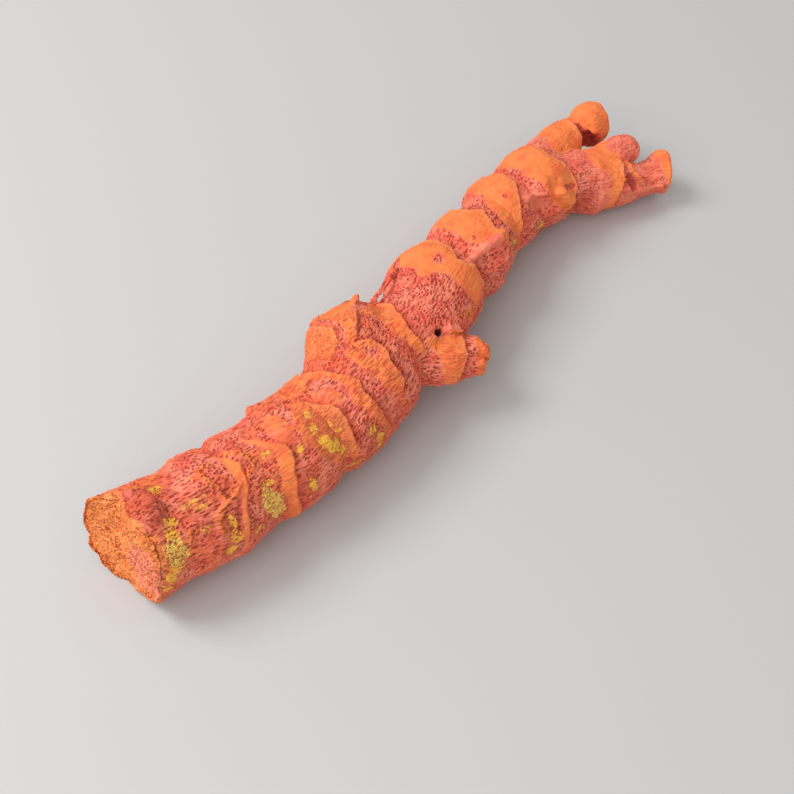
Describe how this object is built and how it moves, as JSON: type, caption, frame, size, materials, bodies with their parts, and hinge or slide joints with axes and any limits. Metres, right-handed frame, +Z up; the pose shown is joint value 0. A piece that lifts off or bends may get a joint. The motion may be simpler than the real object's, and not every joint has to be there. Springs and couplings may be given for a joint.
{
  "type": "red coral branch",
  "caption": "Broken branch of red coral with orange growth collars, a side stub and forked tips, lying on its side.",
  "frame": {"origin": "on the surface it lies on, under the middle of its bounding box", "axes": "+X from the broken base towards the forked tips, +Z up, so that +Y is to the left when looking from base to tips"},
  "size_m": [0.1234, 0.0314, 0.02],
  "materials": {
    "lower_stem_coral": "matt, porous red coral with orange collars and yellow patches",
    "side_stub_coral": "matt, porous orange coral",
    "upper_stem_coral": "matt, porous red coral with orange collars",
    "left_tip_coral": "matt orange coral",
    "right_tip_coral": "matt red coral with an orange rim"
  },
  "bodies": {
    "root": {"lower_stem": "lower_stem_coral", "side_stub": "side_stub_coral", "upper_stem": "upper_stem_coral", "left_tip": "left_tip_coral", "right_tip": "right_tip_coral"}
  },
  "joints": []
}
